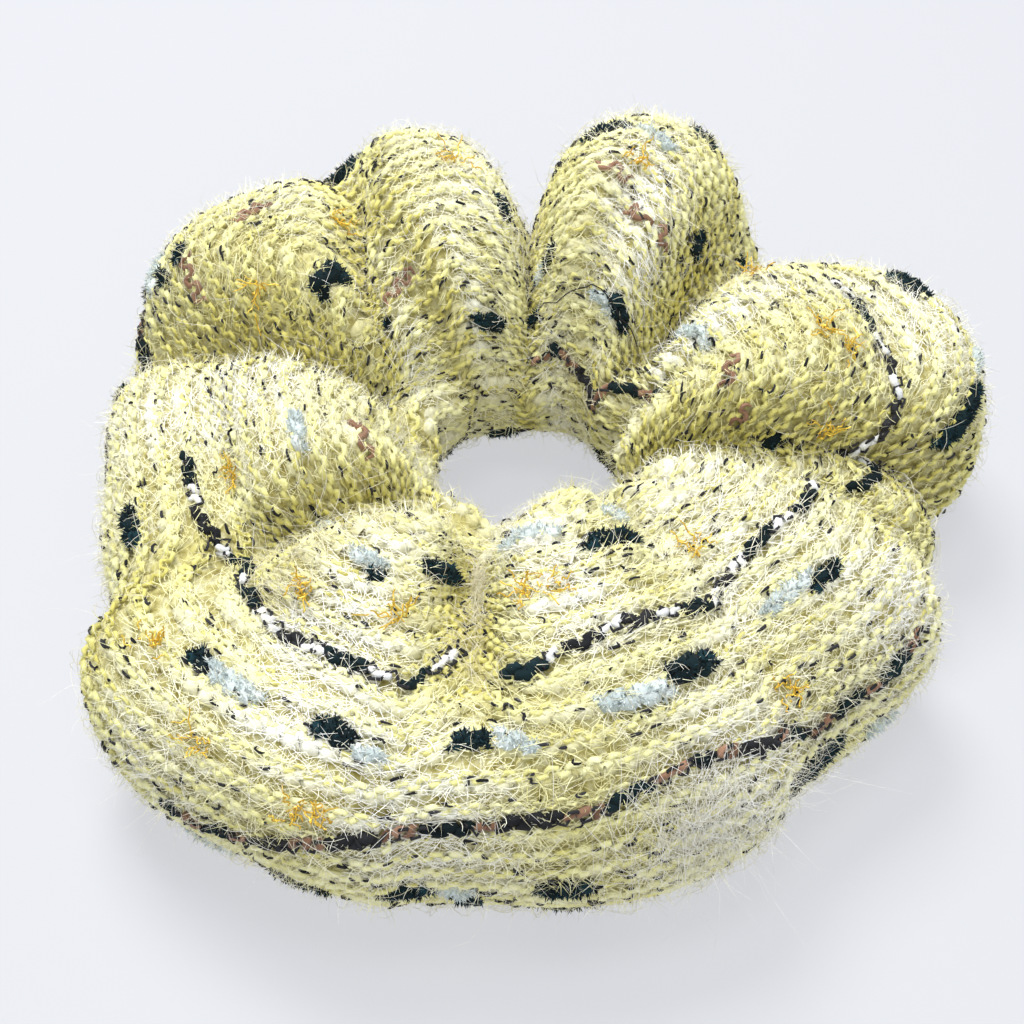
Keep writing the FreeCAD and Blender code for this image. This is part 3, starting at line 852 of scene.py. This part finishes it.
def build():
    """Grows every strand, then makes and places the pieces of each stretch."""
    rng = np.random.default_rng(7)
    store = Store()
    courses = [Course(k * PLACES / COURSES) for k in range(COURSES)]
    body_yarn(store, courses, rng)
    for row in SLUBS:
        slub(store, rng, *row)
    for _ in range(SLUBS_BELOW):
        number, theta = rng.uniform(21, 36), rng.uniform(0, 360)
        kind = rng.choice(("dark", "dark", "blue", "rust"))
        length = rng.uniform(4, 9)
        slub(store, rng, kind, theta, number, length, 0.4 if kind == "rust" else rng.uniform(1.0, 1.5))
    for _ in range(SLUBS_BEHIND):
        kind, theta = rng.choice(("dark", "blue")), rng.uniform(65, 185)
        number, length = rng.uniform(-1, 3), rng.uniform(4, 8)
        slub(store, rng, kind, theta, number, length, 1.2)
    for row in STRIPES:
        stripe(store, rng, *row)
    for row in TUFTS:
        tuft(store, rng, *row)
    loose_thread(store)
    share = 1.0
    pile(store, rng, int(LYING_HAIRS * share), True)
    pile(store, rng, int(STANDING_HAIRS * share), False)
    for area, count, lying, tint, along, size in HAIRY:
        pile(store, rng, int(count * share), lying, area, tint, along, size)
    for stretch in STRETCHES:
        number = f"{stretch + 1:02d}"
        cloth, flat = sleeve(stretch)
        yarn = new_mesh(f"yarn_{number}", store.part("cream", stretch, 5) + store.part("yellow", stretch, 4))
        coloured = [store.part(kind, stretch, 5) for kind in ("black", "dark", "blue", "rust", "gold", "white")]
        slubs = new_mesh(f"slubs_{number}", sum(coloured, []))
        fuzz = new_mesh(f"pile_{number}", store.part("hair", stretch, 3) + store.part("fluff", stretch, 2))
        stitches = seam(stretch)
        strip = ribbon(stretch)
        for piece in (cloth, yarn, slubs, fuzz, stitches, strip):
            blend(piece, stretch)
        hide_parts(f"gather_{number}")
        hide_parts(f"seam_stitches_{number}")
        if stretch == 0:
            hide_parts("elastic_band")
    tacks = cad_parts["elastic_stitches"]
    tacks.data.materials.clear()
    tacks.data.materials.append(LOOKS["tack"])
    hoop = closing_seam()
    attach(hoop, "closing_seam")
    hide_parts("closing_seam_yarn")


def look_from(place, target):
    """Rotation of a lamp or camera at a place that looks at a target."""
    return (Vector(target) - Vector(place)).to_track_quat("-Z", "Y").to_euler()


def stage():
    """Pale floor, soft daylight from above left, and the camera, in metres."""
    scene = bpy.context.scene
    bpy.ops.mesh.primitive_plane_add(size=6)
    floor = bpy.context.object
    floor.name = "floor"
    m = bpy.data.materials.new("floor")
    m.use_nodes = True
    shader = m.node_tree.nodes["Principled BSDF"]
    shader.inputs["Base Color"].default_value = (0.16, 0.163, 0.17, 1)
    shader.inputs["Emission Color"].default_value = (0.53, 0.54, 0.575, 1)
    shader.inputs["Emission Strength"].default_value = 1.0
    shader.inputs["Roughness"].default_value = 0.7
    floor.data.materials.append(m)
    for name, place, size, power in (
        ("key", (-0.16, 0.34, 0.76), 0.34, 6.8),
        ("top", (0.02, -0.06, 0.85), 0.25, 2.0),
        ("front", (0.10, -0.70, 0.60), 0.6, 2.2),
    ):
        light = bpy.data.lights.new(name, "AREA")
        light.size = size
        light.energy = power
        lamp = bpy.data.objects.new(name, light)
        lamp.location = place
        lamp.rotation_euler = look_from(place, (0, 0, 0.01))
        scene.collection.objects.link(lamp)
    world = bpy.data.worlds.new("soft")
    world.use_nodes = True
    world.node_tree.nodes["Background"].inputs["Color"].default_value = (0.92, 0.95, 1.0, 1)
    world.node_tree.nodes["Background"].inputs["Strength"].default_value = 0.50
    scene.world = world
    scene.view_settings.view_transform = "Standard"
    data = bpy.data.cameras.new("camera")
    data.lens = 60
    data.sensor_width = 36
    data.clip_start = 0.01
    eye = bpy.data.objects.new("camera", data)
    elevation = math.radians(48)
    target = np.array((-4.1, -3.9, 15.0)) * MM
    distance = 0.238
    place = target + distance * np.array((0, -math.cos(elevation), math.sin(elevation)))
    eye.location = place
    eye.rotation_euler = look_from(place, target)
    scene.collection.objects.link(eye)
    scene.camera = eye


build()
stage()
